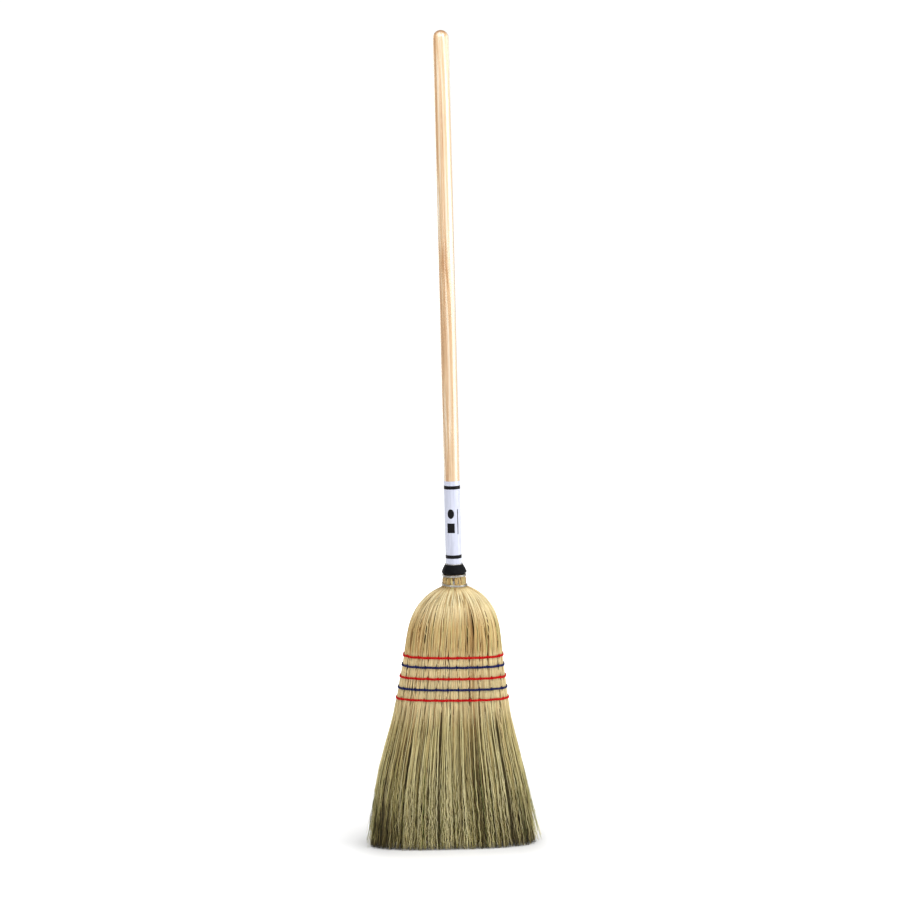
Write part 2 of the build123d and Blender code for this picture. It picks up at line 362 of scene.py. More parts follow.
def straw_piece(name, strands, sides):
    """One piece from strands: paths, radii, a tone per strand, and age and shade per point."""
    vertices, quads, caps = tube_mesh(strands["paths"], strands["radii"], sides, BACKWARD)
    steps = strands["radii"].shape[1]
    tone = np.repeat(strands["tone"], steps * sides)
    age = np.repeat(strands["age"].ravel(), sides)
    shade = np.repeat(strands["shade"].ravel(), sides)
    return mesh_piece(name, vertices, [quads, caps], tone=tone, age=age, shade=shade)


def take(strands, chosen):
    """The chosen strands only."""
    return {key: values[chosen] for key, values in strands.items()}


# ---------------------------------------------------------------- straw growth

# Each kind of strand: how many, points along each, and the heights where they start or end.
BUTTS = 52
BUTT_STEPS = 16
BUTT_ENDS = (0.438, 0.452)
BUTT_RADII_MM = (1.35, 1.9)
COVER = 760
COVER_STEPS = 44
COVER_TOP = SHOULDER_TOP + 7 * MM
COVER_ENDS = (0.15, 0.235)
COVER_LAYERS = 7
COVER_FIRST_DEPTH_MM = 0.4
COVER_LAYER_DEPTH_MM = 1.15
COVER_CROSSING_MM = 5.0
UNDER = 360
UNDER_STEPS = 30
UNDER_ENDS = (0.14, 0.22)
UNDER_DEPTHS_MM = (2.6, 5.2)
OUTER_BRANCHES = 3300
PALE_BRANCHES = 560
OUTER_STEPS = 28
INNER_BRANCHES = 2200
INNER_STEPS = 20
BRANCH_STARTS = (0.2, 0.335)
BRANCH_RADIUS = 0.52 * MM
TIP_LOWEST_MM = 0.6
TIP_SPREAD_MM = 3.8
TWIGS = 8000
TWIG_LENGTH_MM = (3, 8)
TWIG_RADII = (0.36 * MM, 0.32 * MM, 0.12 * MM)
STRAYS = 110
STRAY_STEPS = 18
STRAY_STARTS = (0.07, 0.21)
STRAY_REACH_MM = (-2, 15)
STRAY_RADIUS = 0.5 * MM
TIP_CLEARANCE = 0.5 * MM
LOCKS = 290
LOCK_TOP = 0.275
LOCK_FORMS_OVER = 0.1
LOCK_WAVE = 0.17


def waves(count, z, length, size):
    """Smooth random sway of each strand along its height."""
    sway = np.zeros((count, z.shape[-1]))
    for part in (1.0, 0.55, 0.3):
        phase = rng.uniform(0, TURN, (count, 1))
        stretch = rng.uniform(0.75, 1.3, (count, 1))
        sway += part * np.sin(TURN * z / (length * part * stretch) + phase)
    return size * sway


def straw_age(z, count):
    """0 for pale ripe straw at the neck, 1 for the greenish tips."""
    spread = rng.normal(0, 0.18, (count, 1))
    return np.clip(smooth((0.36 - z) / 0.32) + spread * smooth((0.44 - z) / 0.16), 0, 1)


def even_shares(count):
    """Places round the straw, evenly spread but not regular."""
    return ((np.arange(count) + rng.uniform(-0.5, 0.5, count)) / count)[:, None]


def heights_down(top, bottom, steps, power=1.0):
    """Heights along each strand from its top to its bottom."""
    along = np.linspace(0, 1, steps)[None, :] ** power
    return top + (bottom - top) * along


def lock_table():
    """The loose straw hangs in locks: each has its own tone, depth, sway and tightness."""
    return {
        "tone": rng.normal(0, 0.28, LOCKS),
        "depth": np.abs(rng.normal(0, 1.4, LOCKS)) * MM,
        "sway": rng.uniform(0.2, 0.9, LOCKS) * MM,
        "phase": rng.uniform(0, TURN, LOCKS),
        "pull": rng.uniform(0.35, 0.8, LOCKS),
    }


LOCK = lock_table()


def in_locks(share, z):
    """Lock number of each strand and its sideways shift towards the lock's own line."""
    number = (share[:, :1] * LOCKS).astype(int) % LOCKS
    middle = (np.floor(share[:, :1] * LOCKS) + 0.5) / LOCKS
    gather = smooth((LOCK_TOP - z) / LOCK_FORMS_OVER)
    pull = (middle - share[:, :1]) * LOCK["pull"][number] * gather
    sway = LOCK["sway"][number] * np.sin(TURN * z / LOCK_WAVE + LOCK["phase"][number]) * gather
    return number[:, 0], pull + sway / girth_at(z)


def shade_depth(z):
    """Depth at which the straw is painted in full shade: less in the open straw of the tips."""
    return np.interp(z, (0.02, 0.06, 0.24), (3.6, 4.1, 5.6)) * MM


def strands_from(share, z, depth, radii, tone, parting=1.0):
    """Strands with gaps opened between them, given a shade value for painted shade that darkens them the
    deeper they lie.
    """
    opened = share + (open_gaps(share, z) - share) * parting
    return {
        "paths": straw_points(opened, z, depth),
        "radii": radii,
        "tone": tone,
        "age": straw_age(z, len(tone)),
        # Painted shade: 0 at the surface, 1 where the strand is coloured as if in full shade.
        "shade": smooth(depth / shade_depth(z)) + 0 * z,
    }


def butts():
    """Thick cut ends of the outermost stalks in the collar, which dive under the rest."""
    z = heights_down(COLLAR_TOP - 1 * MM, rng.uniform(*BUTT_ENDS, (BUTTS, 1)), BUTT_STEPS, 1.2)
    radii = rng.uniform(*BUTT_RADII_MM, (BUTTS, 1)) * MM * np.interp(z, (0.44, 0.462, 0.47), (0.5, 0.8, 1.0))
    slant = rng.normal(0, 1.2, (BUTTS, 1)) * MM * (z - SHOULDER_TOP) / (20 * MM)
    share = even_shares(BUTTS) + slant / girth_at(z)
    dive = 1.6 * MM * smooth((SHOULDER_TOP - z) / (16 * MM))
    depth = radii + rng.uniform(0, 0.5, (BUTTS, 1)) * MM + dive
    return strands_from(share, z, depth, radii, rng.uniform(0, 1, BUTTS), parting=0.0)


def cover_stalks():
    """Stalks that show on the surface, wound in layers at the neck."""
    z = heights_down(COVER_TOP, rng.uniform(*COVER_ENDS, (COVER, 1)), COVER_STEPS, 1.2)
    free = smooth((SHOULDER_TOP + 2 * MM - z) / (40 * MM))
    size = rng.uniform(0.7, 1.25, (COVER, 1))
    radii = size * np.interp(z, (0.15, 0.26, 0.40, 0.47), (0.3 * MM, 0.58 * MM, 0.88 * MM, 1.0 * MM))
    slip = rng.normal(0, 1.0, (COVER, 1)) * MM * free + waves(COVER, z, 0.12, 0.5 * MM) * free
    cross = rng.normal(0, COVER_CROSSING_MM, (COVER, 1)) * MM * smooth((0.44 - z) / 0.22)
    share = even_shares(COVER) + (slip + cross) / girth_at(z)
    layer = (np.arange(COVER) * 3 % COVER_LAYERS)[:, None]
    wound_depth = (COVER_FIRST_DEPTH_MM + layer * COVER_LAYER_DEPTH_MM) * MM
    rest_depth = np.abs(rng.normal(0, 1.4, (COVER, 1))) * MM
    lock, shift = in_locks(share, z)
    loose_depth = rest_depth * (1 - 0.7 * held_flat(z))
    depth = radii + wound_depth * (1 - free) + loose_depth * free
    depth += LOCK["depth"][lock][:, None] * smooth((0.26 - z) / 0.06)
    tone = np.clip(rng.uniform(0, 1, COVER) + 0.6 * LOCK["tone"][lock], 0, 1)
    return strands_from(share + shift, z, depth, radii, tone)


def under_stalks():
    """Stalks just under the surface, which show in the gaps."""
    top = SHOULDER_TOP - rng.uniform(4, 22, (UNDER, 1)) * MM
    z = heights_down(top, rng.uniform(*UNDER_ENDS, (UNDER, 1)), UNDER_STEPS)
    radii = rng.uniform(0.8, 1.2, (UNDER, 1)) * np.interp(z, (0.14, 0.26, 0.46), (0.35, 0.7, 1.2)) * MM
    share = even_shares(UNDER) + waves(UNDER, z, 0.15, 0.9 * MM) / girth_at(z)
    depth = radii + rng.uniform(*UNDER_DEPTHS_MM, (UNDER, 1)) * MM + 0 * z
    return strands_from(share, z, depth, radii, rng.uniform(0, 0.8, UNDER), parting=0.9)


def branches(count, steps, shallow, deep, parting=0.0, tones=(0.0, 1.0)):
    """Fine crinkled branches from the stitched rows down to the tips."""
    start = rng.uniform(*BRANCH_STARTS, (count, 1))
    tip = np.abs(rng.normal(0, TIP_SPREAD_MM, (count, 1))) * MM + TIP_LOWEST_MM * MM
    z = heights_down(start, tip, steps, 0.85)
    along = (start - z) / (start - tip)
    low = smooth((0.21 - z) / 0.21)
    drift = rng.normal(0, 1.6, (count, 1)) * MM * smooth(along)
    crinkle = waves(count, z, 0.038, 0.65 * MM) * (0.2 + 1.4 * low)
    kink = waves(count, z, 0.019, 0.6 * MM) * low
    root = even_shares(count) % 1.0
    lock, shift = in_locks(root, z)
    share = root + shift + (drift + crinkle + kink) / girth_at(z)
    goal = rng.uniform(shallow, deep, (count, 1)) * MM + LOCK["depth"][lock][:, None]
    side = np.abs(np.cos(TURN * share)) ** 6
    thinning = rng.uniform(0, 8, (count, 1)) * MM * side * smooth((0.12 - z) / 0.12)
    depth = goal + waves(count, z, 0.05, 0.4 * MM) * (0.3 + low) - 0.8 * MM * low + thinning
    thickness = rng.uniform(0.7, 1.3, (count, 1))
    radii = BRANCH_RADIUS * thickness * np.interp(along, (0, 0.08, 0.7, 1), (0.5, 1.0, 0.85, 0.35))
    tone = np.clip(rng.uniform(*tones, count) + LOCK["tone"][lock], 0, 1)
    return strands_from(share, z, depth, radii, tone, parting)


def twigs(strands, count):
    """Short stubs left where the seeds were combed off the branches."""
    steps = strands["radii"].shape[1]
    strand = rng.integers(0, len(strands["tone"]), count)
    step = (steps * rng.uniform(0.35, 0.97, count) ** 0.8).astype(int)
    root = strands["paths"][strand, step]
    length = rng.uniform(*TWIG_LENGTH_MM, count)[:, None] * MM
    heading = rng.uniform(0, TURN, count)
    lean = rng.uniform(0.2, 0.7, count)
    aim = np.stack([np.cos(heading) * lean, np.sin(heading) * lean, -np.ones(count)], axis=-1)
    aim /= np.linalg.norm(aim, axis=-1, keepdims=True)
    points = len(TWIG_RADII)
    along = np.linspace(0, 1, points)[None, :, None]
    paths = root[:, None] + (aim * length)[:, None] * along
    paths[..., 2] = np.maximum(paths[..., 2], TIP_CLEARANCE)
    return {
        "paths": paths,
        "radii": np.tile(TWIG_RADII, (count, 1)),
        "tone": rng.uniform(0, 1, count),
        "age": np.repeat(strands["age"][strand, step][:, None], points, axis=1),
        "shade": np.repeat(strands["shade"][strand, step][:, None], points, axis=1),
    }


def strays():
    """Loose fibres that stand off both bottom corners."""
    along = np.linspace(0, 1, STRAY_STEPS)[None, :]
    side = np.where(np.arange(STRAYS) % 5 < 3, 0.0, 0.5)
    share = side + rng.normal(0, 0.025, STRAYS)
    start = rng.uniform(*STRAY_STARTS, STRAYS)[:, None]
    tip = np.abs(rng.normal(0, 20, STRAYS))[:, None] * MM + 1 * MM
    tip = np.minimum(tip, start - 40 * MM)
    z = start + (tip - start) * along
    reach = rng.uniform(*STRAY_REACH_MM, (STRAYS, 1)) * MM * np.where(side == 0.0, 1.0, 0.75)[:, None]
    sway = (waves(STRAYS, z, 0.05, 0.5 * MM) + waves(STRAYS, z, 0.02, 0.3 * MM)) * along
    depth = 2.0 * MM - reach * along ** 1.3 + sway
    wander = share[:, None] + sway / girth_at(z)
    radii = STRAY_RADIUS * np.interp(along, (0, 1), (1, 0.4)) * np.ones((STRAYS, 1))
    return strands_from(wander, z, depth, radii, rng.uniform(0.3, 1, STRAYS), parting=0.0)


CORE_LEVELS = 60
CORE_ROUND = 180
CORE_HEIGHTS = (0.022, 0.12, 0.40, 0.455, 0.48)
CORE_DEPTHS_MM = (11, 7.0, 6.6, 6.4, 6.6)


def core_piece():
    """Dense straw behind the stalks: a closed body with a ribbed surface."""
    z = np.linspace(SHOULDER_TOP + 10 * MM, rng.uniform(6, 16, CORE_ROUND) * MM, CORE_LEVELS)
    share = np.arange(CORE_ROUND)[None, :] / CORE_ROUND * np.ones((CORE_LEVELS, 1))
    ribs = rng.uniform(-0.7, 0.7, (1, CORE_ROUND)) * MM
    depth = np.interp(z, CORE_HEIGHTS, CORE_DEPTHS_MM) * MM + ribs
    points = straw_points(share, z, depth)
    index = np.arange(CORE_LEVELS * CORE_ROUND).reshape(CORE_LEVELS, CORE_ROUND)
    turned = np.roll(index, -1, axis=1)
    quads = np.stack([index[:-1], index[1:], turned[1:], turned[:-1]], axis=-1).reshape(-1, 4)
    caps = [index[:1], index[-1:, ::-1]]
    tone = np.repeat(rng.uniform(0, 0.5, (1, CORE_ROUND)), CORE_LEVELS, axis=0).ravel()
    age = smooth((0.36 - z) / 0.32).ravel()
    # Painted shade: the whole core is coloured as straw in full shade.
    shade = np.ones(len(age))
    return mesh_piece("straw_core", points.reshape(-1, 3), [quads] + caps, tone=tone, age=age, shade=shade)


# ---------------------------------------------------------------- materials

def srgb(red, green, blue):
    """Linear colour from 0-255 display values."""
    def linear(value):
        value = value / 255
        return value / 12.92 if value <= 0.04045 else ((value + 0.055) / 1.055) ** 2.4
    return (linear(red), linear(green), linear(blue), 1.0)


def add(tree, kind, inputs=(), **settings):
    """New shader node; inputs that are sockets are linked."""
    made = tree.nodes.new("ShaderNode" + kind)
    for key, value in settings.items():
        setattr(made, key, value)
    for key, value in dict(inputs).items():
        if isinstance(value, bpy.types.NodeSocket):
            tree.links.new(value, made.inputs[key])
        else:
            made.inputs[key].default_value = value
    return made


def ramp(tree, factor, *stops):
    """Colour ramp through (position, colour) stops."""
    made = add(tree, "ValToRGB", {"Fac": factor})
    elements = made.color_ramp.elements
    while len(elements) < len(stops):
        elements.new(0.5)
    for element, (position, colour) in zip(elements, stops):
        element.position = position
        element.color = colour
    return made.outputs["Color"]


def mix(tree, factor, first, second, blend_type="MIX"):
    """Colour mixed from two: inputs 0, 6 and 7 are the factor and the colours."""
    made = add(tree, "Mix", {0: factor, 6: first, 7: second}, data_type="RGBA", blend_type=blend_type)
    return made.outputs[2]


def maths(tree, operation, *values):
    """Result of one arithmetic node."""
    return add(tree, "Math", dict(enumerate(values)), operation=operation).outputs[0]


def noise(tree, coordinates, scale, size=1.0, detail=4.0, roughness=0.5):
    """Noise with its own stretch along each axis."""
    placed = add(tree, "Mapping", {"Vector": coordinates, "Scale": scale})
    inputs = {"Vector": placed.outputs[0], "Scale": size, "Detail": detail, "Roughness": roughness}
    return add(tree, "TexNoise", inputs).outputs["Fac"]


def grey(value):
    """Neutral linear colour."""
    return (value, value, value, 1.0)


def material(name, build):
    """Material whose surface inputs come from build(tree, object coordinates)."""
    made = bpy.data.materials.new(name)
    made.use_nodes = True
    tree = made.node_tree
    surface = tree.nodes["Principled BSDF"]
    coordinates = add(tree, "TexCoord").outputs["Object"]
    for key, value in build(tree, coordinates).items():
        if isinstance(value, bpy.types.NodeSocket):
            tree.links.new(value, surface.inputs[key])
        else:
            surface.inputs[key].default_value = value
    return made


def bump(tree, height, distance, strength=1.0):
    """Surface normal shaped by a height pattern."""
    inputs = {"Height": height, "Distance": distance, "Strength": strength}
    return add(tree, "Bump", inputs).outputs["Normal"]


# Straw colours by a strand's tone: gold near the neck, pale where it is held and at the neck, where the pale
# colour is partly a painted sheen of the top light, olive at the tips.
GOLD = (
    (0.0, srgb(150, 112, 60)),
    (0.12, srgb(196, 158, 98)),
    (0.45, srgb(212, 182, 122)),
    (0.8, srgb(228, 204, 148)),
    (1.0, srgb(206, 194, 130)),
)
PALE_AND_SHEEN = (
    (0.0, srgb(214, 186, 132)),
    (0.3, srgb(250, 232, 188)),
    (1.0, srgb(255, 244, 206)),
)
OLIVE = (
    (0.0, srgb(86, 64, 30)),
    (0.15, srgb(118, 106, 54)),
    (0.4, srgb(104, 120, 60)),
    (0.55, srgb(164, 157, 94)),
    (0.8, srgb(208, 196, 136)),
    (1.0, srgb(236, 225, 174)),
)
# By height: how much of the pale colour shows, at the neck partly as a painted sheen, and how bright the
# loose straw is: painted light at the tips, and a little darker between 0.05 m and 0.17 m up.
PALENESS_AND_SHEEN = (
    (0.215, grey(0.0)),
    (0.245, grey(0.28)),
    (0.34, grey(0.36)),
    (0.36, grey(0.0)),
    (0.4, grey(0.0)),
    (0.45, grey(0.95)),
    (0.463, grey(0.6)),
    (0.468, grey(0.0)),
)
BRIGHTNESS_WITH_PAINTED_TIP_LIGHT = (
    (0.012, grey(1.3)),
    (0.05, grey(0.95)),
    (0.11, grey(0.93)),
    (0.17, grey(1.0)),
)
# By shade: painted shade, darker from the open surface to straw that lies deep inside.
PAINTED_DEPTH_SHADE = (
    (0.0, grey(1.0)),
    (0.25, (0.68, 0.64, 0.54, 1.0)),
    (0.7, (0.21, 0.18, 0.12, 1.0)),
    (1.0, (0.12, 0.1, 0.06, 1.0)),
)


def straw_surface(tree, at):
    """Dry stalks: each has its own tone, and they turn from gold to olive with age."""
    tone, age, shade = [
        add(tree, "Attribute", attribute_name=name).outputs["Fac"] for name in ("tone", "age", "shade")
    ]
    height = add(tree, "SeparateXYZ", {0: at}).outputs["Z"]
    streaks = noise(tree, at, (1500, 1500, 40), detail=3)
    blotches = noise(tree, at, (60, 60, 22), detail=3)
    aged = mix(tree, age, ramp(tree, tone, *GOLD), ramp(tree, tone, *OLIVE))
    # Pale straw shows where the twine holds it, and at the neck as pale straw with a painted sheen.
    colour = mix(tree, ramp(tree, height, *PALENESS_AND_SHEEN), aged, ramp(tree, tone, *PALE_AND_SHEEN))
    # Streaks and blotches are the straw's own marks; the height ramp paints light at the tips and the shade
    # ramp paints shade by depth.
    for detail in (
        ramp(tree, streaks, (0.3, grey(0.76)), (0.7, grey(1.0))),
        ramp(tree, blotches, (0.3, grey(0.82)), (0.7, grey(1.0))),
        ramp(tree, height, *BRIGHTNESS_WITH_PAINTED_TIP_LIGHT),
        ramp(tree, shade, *PAINTED_DEPTH_SHADE),
    ):
        colour = mix(tree, 1.0, colour, detail, "MULTIPLY")
    return {
        "Base Color": colour,
        "Roughness": ramp(tree, streaks, (0.3, grey(0.42)), (0.7, grey(0.62))),
        "Specular IOR Level": 0.35,
        "Normal": bump(tree, streaks, 0.15 * MM, 0.6),
    }


def core_surface(tree, at):
    """Straw deep inside: matte, and coloured in full painted shade through its shade value."""
    look = straw_surface(tree, at)
    look["Roughness"] = 0.85
    return look


def wood_surface(tree, at):
    """Varnished softwood: lengthwise grain, a few pin knots and darker end grain on the dome, which is
    partly painted shade where the light falls off at the top.
    """
    drift = maths(tree, "MULTIPLY", noise(tree, at, (18, 18, 1.6), detail=2), 30 * MM)
    bent = add(tree, "VectorMath", {0: at, 1: drift}, operation="ADD")
    grain = noise(tree, bent.outputs[0], (190, 190, 1.5), detail=4, roughness=0.55)
    pores = noise(tree, at, (1100, 1100, 24), detail=2)
    knots = add(tree, "TexVoronoi", {"Vector": at, "Scale": 9.0, "Randomness": 1.0})
    base = ramp(
        tree, grain,
        (0.34, srgb(164, 120, 76)),
        (0.45, srgb(188, 155, 116)),
        (0.55, srgb(200, 179, 150)),
        (0.66, srgb(210, 199, 182)),
    )
    base = mix(tree, 1.0, base, ramp(tree, pores, (0.3, grey(0.9)), (0.6, grey(1.03))), "MULTIPLY")
    ring = ramp(tree, knots.outputs["Distance"], (0.0, grey(0.45)), (0.035, grey(0.62)), (0.06, grey(1.0)))
    base = mix(tree, 0.8, base, ring, "MULTIPLY")
    # The dome's colour darkens: partly the wood's end grain, partly painted shade at the top.
    height = add(tree, "SeparateXYZ", {0: at}).outputs["Z"]
    span = {"Value": height, "From Min": HANDLE_TOP - 11 * MM, "From Max": HANDLE_TOP - 2 * MM}
    end_grain_and_shade = add(tree, "MapRange", span).outputs["Result"]
    return {
        "Base Color": mix(tree, end_grain_and_shade, base, srgb(126, 88, 50)),
        "Roughness": ramp(tree, grain, (0.3, grey(0.38)), (0.7, grey(0.28))),
        "Coat Weight": maths(tree, "MULTIPLY_ADD", end_grain_and_shade, -0.85, 1.0),
        "Coat Roughness": 0.2,
        "Coat IOR": 1.6,
        "Normal": bump(tree, grain, 0.12 * MM, 0.5),
    }


# The print: sizes are from the sleeve's top, and from the middle of the mark on its front.
BAND_INSETS = (11 * MM, 133 * MM)
BAND_HALF = 3.1 * MM
MARK_HEIGHT = SLEEVE[1].z - 71 * MM
OVAL_MIDDLE = (-3.4 * MM, 14 * MM)
OVAL_HALVES = (6.0 * MM, 8.4 * MM)
BLOCK_ACROSS = (-10.6 * MM, 3.2 * MM)
BLOCK_UP = (-19.5 * MM, -2.5 * MM)
LINE_ACROSS = (8.4 * MM, 10.2 * MM)
LINE_UP = (-22 * MM, 22 * MM)


def within(tree, value, low, high):
    """1 where a value lies between two limits."""
    above = maths(tree, "GREATER_THAN", value, low)
    below = maths(tree, "LESS_THAN", value, high)
    return maths(tree, "MULTIPLY", above, below)


def sleeve_ink(tree, at):
    """Two printed bands and a plain mark on the front: an oval over a block, and a line."""
    x, y, z = add(tree, "SeparateXYZ", {0: at}).outputs
    turn = maths(tree, "ARCTAN2", x, maths(tree, "MULTIPLY", y, -1.0))
    across = maths(tree, "MULTIPLY", turn, SLEEVE[1].x)
    upper, lower = [
        within(tree, z, SLEEVE[1].z - inset - BAND_HALF, SLEEVE[1].z - inset + BAND_HALF)
        for inset in BAND_INSETS
    ]
    up = maths(tree, "SUBTRACT", z, MARK_HEIGHT)
    oval_x, oval_z = [
        maths(tree, "DIVIDE", maths(tree, "SUBTRACT", place, middle), half)
        for place, middle, half in zip((across, up), OVAL_MIDDLE, OVAL_HALVES)
    ]
    spread = maths(tree, "ADD", maths(tree, "POWER", oval_x, 2.0), maths(tree, "POWER", oval_z, 2.0))
    oval = maths(tree, "LESS_THAN", spread, 1.0)
    block, line = [
        maths(tree, "MULTIPLY", within(tree, across, *width), within(tree, up, *height))
        for width, height in ((BLOCK_ACROSS, BLOCK_UP), (LINE_ACROSS, LINE_UP))
    ]
    ink = upper
    for shape in (lower, oval, block, line):
        ink = maths(tree, "MAXIMUM", ink, shape)
    return ink


def sleeve_surface(tree, at):
    """Glossy white shrink sleeve with fine vertical wrinkles and print."""
    wrinkles = noise(tree, at, (260, 260, 14), detail=3)
    specks = noise(tree, at, (900, 900, 900), detail=2)
    white = ramp(tree, wrinkles, (0.3, srgb(170, 173, 190)), (0.7, srgb(183, 186, 202)))
    black = ramp(tree, specks, (0.3, srgb(8, 8, 10)), (0.7, srgb(22, 21, 25)))
    ink = sleeve_ink(tree, at)
    gloss = maths(tree, "MULTIPLY_ADD", ink, -0.44, 0.5)
    return {
        "Base Color": mix(tree, ink, white, black),
        "Roughness": ramp(tree, wrinkles, (0.3, grey(0.22)), (0.7, grey(0.34))),
        "Specular IOR Level": gloss,
        "Coat Weight": gloss,
        "Coat Roughness": 0.08,
        "Normal": bump(tree, wrinkles, 0.2 * MM, 0.5),
    }


def boot_surface(tree, at):
    """Matte black boot with a fine woven tooth and faint dusty mottling."""
    weave = noise(tree, at, (1400, 1400, 1400), detail=2)
    dust = noise(tree, at, (160, 160, 160), detail=4)
    return {
        "Base Color": ramp(tree, dust, (0.35, srgb(2, 2, 3)), (0.7, srgb(10, 11, 14))),
        "Roughness": ramp(tree, weave, (0.3, grey(0.55)), (0.7, grey(0.8))),
        "Specular IOR Level": 0.1,
        "Normal": bump(tree, weave, 0.25 * MM, 0.8),
    }


def wire_surface(tree, at):
    """Galvanised wire, bright with small dull spots."""
    spangle = noise(tree, at, (700, 700, 700), detail=3)
    return {
        "Base Color": ramp(tree, spangle, (0.3, srgb(112, 109, 104)), (0.65, srgb(186, 183, 176))),
        "Metallic": 1.0,
        "Roughness": ramp(tree, spangle, (0.3, grey(0.4)), (0.7, grey(0.2))),
        "Normal": bump(tree, spangle, 0.05 * MM, 0.4),
    }


def twine_surface(shadow, body, fuzz):
    """Waxed twine: fibres along the ply, with paler fuzz."""
    def build(tree, at):
        fibres = noise(tree, at, (900, 900, 900), detail=4)
        patches = noise(tree, at, (70, 70, 70), detail=2)
        base = ramp(tree, fibres, (0.3, shadow), (0.5, body), (0.78, fuzz))
        base = mix(tree, 1.0, base, ramp(tree, patches, (0.3, grey(0.85)), (0.7, grey(1.1))), "MULTIPLY")
        return {
            "Base Color": base,
            "Roughness": 0.7,
            "Specular IOR Level": 0.15,
            "Normal": bump(tree, fibres, 0.2 * MM, 0.7),
        }
    return build


MATERIALS = {
    "straw": material("dry_straw", straw_surface),
    "core": material("shaded_straw", core_surface),
    "wood": material("varnished_softwood", wood_surface),
    "sleeve": material("printed_sleeve", sleeve_surface),
    "boot": material("black_boot", boot_surface),
    "wire": material("galvanised_wire", wire_surface),
    "red": material("red_twine", twine_surface(srgb(120, 0, 4), srgb(184, 2, 10), srgb(204, 24, 28))),
    "navy": material("navy_twine", twine_surface(srgb(8, 12, 40), srgb(16, 24, 76), srgb(44, 56, 112))),
}


def paint(piece, look):
    """Give a new piece its material."""
    piece.data.materials.clear()
    piece.data.materials.append(MATERIALS[look])
    return piece


def paint_node(name, look):
    """Give a CAD node that stays in view its material."""
    shown = frame["nodes"][name]
    for place in shown.material_slots:
        place.link = "OBJECT"
        place.material = MATERIALS[look]


# ---------------------------------------------------------------- pieces

CORE_NODES = (
    "inside_straw",
    "left_wing_straw",
    "right_wing_straw",
    "inside_sweep",
    "left_sweep",
    "right_sweep",
)


def settle(piece, look, nodes):
    """Paint a straw piece, hide the CAD nodes it stands in for and bake its placement into the mesh."""
    paint(piece, look)
    if nodes:
        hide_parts(*nodes)
    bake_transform(piece)


def parts_of(strands, cuts):
    """Groups of strands: front and back, each cut sideways into the same number of parts."""
    middle = strands["paths"].shape[1] // 2
    x, y = strands["paths"][:, middle, 0], strands["paths"][:, middle, 1]
    column = np.minimum((x.argsort().argsort() * cuts) // len(x), cuts - 1)
    for face, chosen in (("front", y < 0), ("back", y >= 0)):
        for index in range(cuts):
            yield f"{face}_{index + 1}", chosen & (column == index)


def place_straw(name, strands, sides, cuts=1, nodes=None):
    """Straw in front and back pieces; nodes names the CAD node each face stands in for."""
    for part, chosen in parts_of(strands, cuts):
        face, index = part.split("_")
        hidden = (nodes[face],) if nodes and index == "1" else ()
        settle(straw_piece(f"{name}_{part}", take(strands, chosen), sides), "straw", hidden)


def all_straw():
    """Every straw piece of the broom."""
    outer = branches(OUTER_BRANCHES, OUTER_STEPS, 0.6, 5.0, parting=1.0)
    inner = branches(INNER_BRANCHES, INNER_STEPS, 5.0, 24.0, parting=0.4)
    bright = branches(PALE_BRANCHES, OUTER_STEPS, -0.3, 1.4, tones=(0.75, 1.1))
    hurl = {"front": "front_hurl", "back": "back_hurl"}
    loose = {"front": "front_sweep", "back": "back_sweep"}
    place_straw("collar_butts", butts(), 8)
    place_straw("cover_stalks", cover_stalks(), 5, cuts=2, nodes=hurl)
    place_straw("under_stalks", under_stalks(), 5)
    place_straw("tip_branches", outer, 3, cuts=2, nodes=loose)
    place_straw("pale_branches", bright, 4)
    place_straw("inner_branches", inner, 3)
    place_straw("seed_twigs", twigs(outer, TWIGS), 3)
    place_straw("stray_fibres", strays(), 3)
    settle(core_piece(), "core", CORE_NODES)


CORD_STEPS = 620
PLY_RADIUS = 0.62 * MM
PLY_OFFSET = 0.5 * MM
PLY_PITCH = 4.6 * MM
CORD_GAP = 1.02 * MM
CORD_OUT = 0.5 * MM
CORD_SIDES = 6
CORD_WOBBLE = 0.25 * MM
CORD_WOBBLES = 17
LOOP_POINTS = 9
LOOP_HALF_HEIGHT = 2.9 * MM
LOOP_SLANT = 0.9 * MM
LOOP_RADIUS = 0.75 * MM
LOOP_OUT_MM = (1.35, 0.9, -3.2)


def cord_line(index, rise, steps):
    """Line of one turn of twine round the straw, and its outward normals."""
    share = np.linspace(0, 1, steps)
    height = ROWS[index][0] + rise
    x = read_table(OUTLINE, share, np.full(steps, height))[:, 0]
    z = row_height(index, x) + rise + CORD_WOBBLE * np.sin(share * TURN * CORD_WOBBLES + index)
    normal = read_table(NORMALS, share, z)
    surface = read_table(OUTLINE, share, z)
    depth = stitch_pinch(surface[:, 0], z) - PINCH - CORD_OUT
    flat = surface - normal * depth[:, None]
    return np.column_stack([flat, z]), np.column_stack([normal, np.zeros(steps)])


def twine_cord(index, rise):
    """Two plies twisted together along one turn."""
    line, outward = cord_line(index, rise, CORD_STEPS)
    walked = np.concatenate([[0], np.cumsum(np.linalg.norm(np.diff(line, axis=0), axis=1))])
    plies = []
    for start in (0, math.pi):
        turn = TURN * walked / PLY_PITCH + start
        offset = outward * np.cos(turn)[:, None] + UPWARD * np.sin(turn)[:, None]
        plies.append(line + offset * PLY_OFFSET)
    return np.array(plies)


